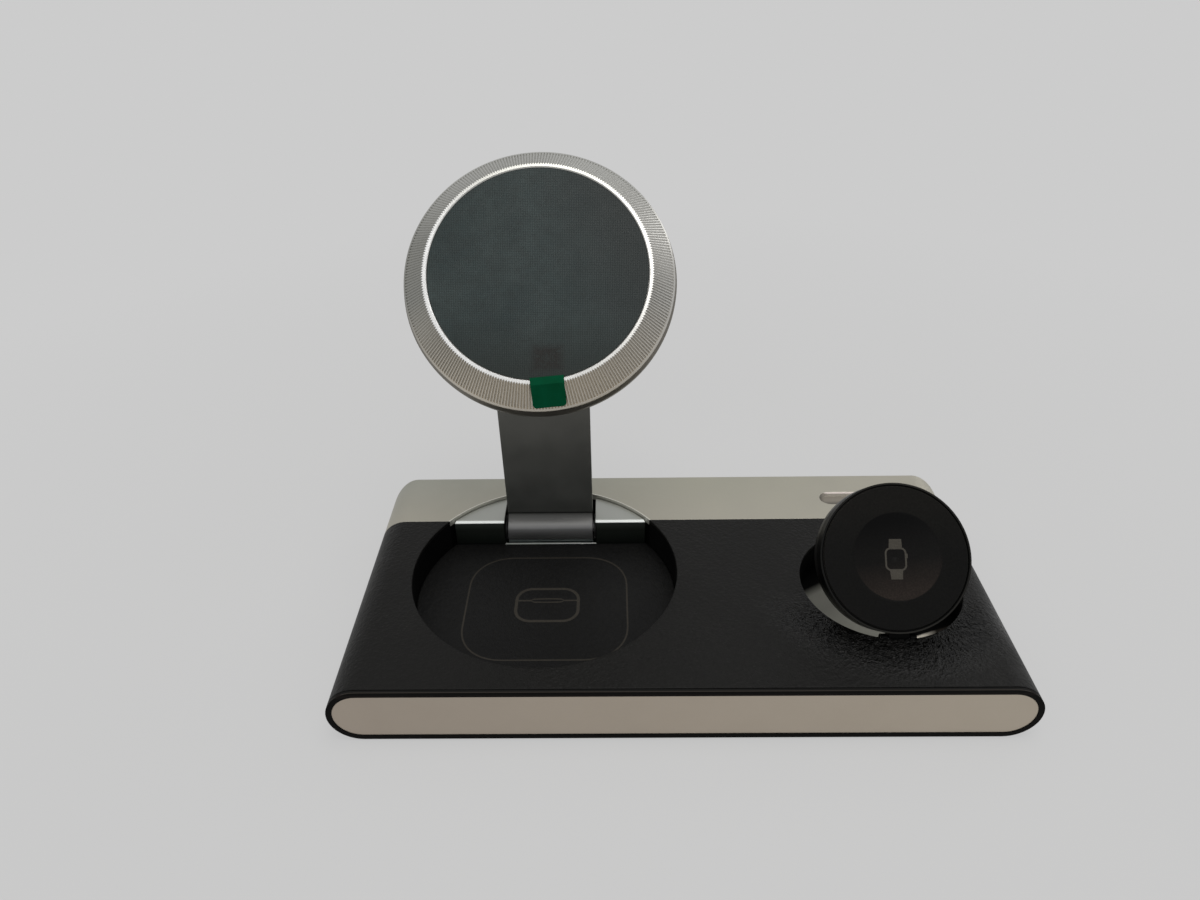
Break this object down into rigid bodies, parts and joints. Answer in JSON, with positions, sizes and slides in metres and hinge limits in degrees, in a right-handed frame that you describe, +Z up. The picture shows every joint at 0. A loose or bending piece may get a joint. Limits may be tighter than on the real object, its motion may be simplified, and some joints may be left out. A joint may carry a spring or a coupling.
{
  "type": "wireless charging station",
  "caption": "Low leather-topped base with a round earbud place, a magnetic phone charging puck on a folding arm and a flip-up watch charging puck.",
  "frame": {"origin": "middle of the foot pad's underside, on the surface the station stands on", "axes": "+X to the right along the base's width, +Y to the rear, +Z up"},
  "size_m": [0.16, 0.0999, 0.1064],
  "materials": {
    "black_plastic": "fine matte moulding",
    "leather": "black, fine even grain",
    "front_metal": "warm gray satin",
    "housing_metal": "fine bead-blasted satin silver",
    "steel": "plain turned",
    "foot_rubber": "matte",
    "washer_plastic": "tan bearing plastic",
    "copper": "enamelled copper winding",
    "ferrite": "dark sintered sheet",
    "board": "green coated board",
    "arm_metal": "dark gray satin",
    "shell_metal": "dark gray satin",
    "ring_metal": "silver, fine radial ribs, bright polished land",
    "pad_rubber": "dark gray soft surface",
    "film": "thin clear film with a fine mesh",
    "tab": "green",
    "magnet": "nickel plated",
    "watch_black": "black satin",
    "watch_pad": "black soft surface"
  },
  "bodies": {
    "base": {"base_core": "black_plastic", "leather_wrap": "leather", "front_plate": "front_metal", "rear_housing": "housing_metal", "bottom_cover": "black_plastic", "cover_screws": "steel", "foot_pad": "foot_rubber", "nest_liner": "leather", "hinge_bracket": "housing_metal", "bracket_screws": "steel", "arm_pin": "steel", "friction_washers": "washer_plastic", "housing_screws": "steel", "earbud_coil": "copper", "earbud_ferrite": "ferrite", "main_board": "board", "usb_inlet": "steel", "pocket_plate": "housing_metal", "watch_hinge_block": "black_plastic", "watch_pin": "steel"},
    "arm": {"arm": "arm_metal"},
    "puck_hinge": {"puck_pin": "steel"},
    "phone_puck": {"puck_shell": "shell_metal", "puck_screws": "steel", "ribbed_ring": "ring_metal", "charge_pad": "pad_rubber", "pad_film": "film", "pull_tab": "tab", "magnet_ring": "magnet", "phone_coil": "copper", "phone_ferrite": "ferrite", "puck_board": "board"},
    "watch_puck": {"watch_rim": "watch_black", "watch_face": "watch_pad", "watch_back": "shell_metal", "watch_coil": "copper", "watch_ferrite": "ferrite", "watch_magnet": "magnet"}
  },
  "joints": [
    {"name": "arm_fold", "type": "hinge", "parent": "base", "child": "arm", "pos_m": [-0.0328, 0.0258, 0.0093], "axis": [1, 0, 0], "range_deg": [0, 86.62]},
    {"name": "puck_turn", "type": "hinge", "parent": "arm", "child": "puck_hinge", "pos_m": [-0.0328, 0.02481, 0.05747], "axis": [1, 0, 0], "range_deg": [-133.56, 0]},
    {"name": "puck_tilt", "type": "hinge", "parent": "puck_hinge", "child": "phone_puck", "pos_m": [-0.0328, 0.02481, 0.05747], "axis": [1, 0, 0], "range_deg": [0, 4]},
    {"name": "watch_flip", "type": "hinge", "parent": "base", "child": "watch_puck", "pos_m": [0.0516, -0.023, 0.0135], "axis": [1, 0, 0], "range_deg": [-48.2, 30]}
  ],
  "couplings": [
    {"joint": "puck_turn", "follows": "arm_fold", "ratio": -1.5418}
  ]
}
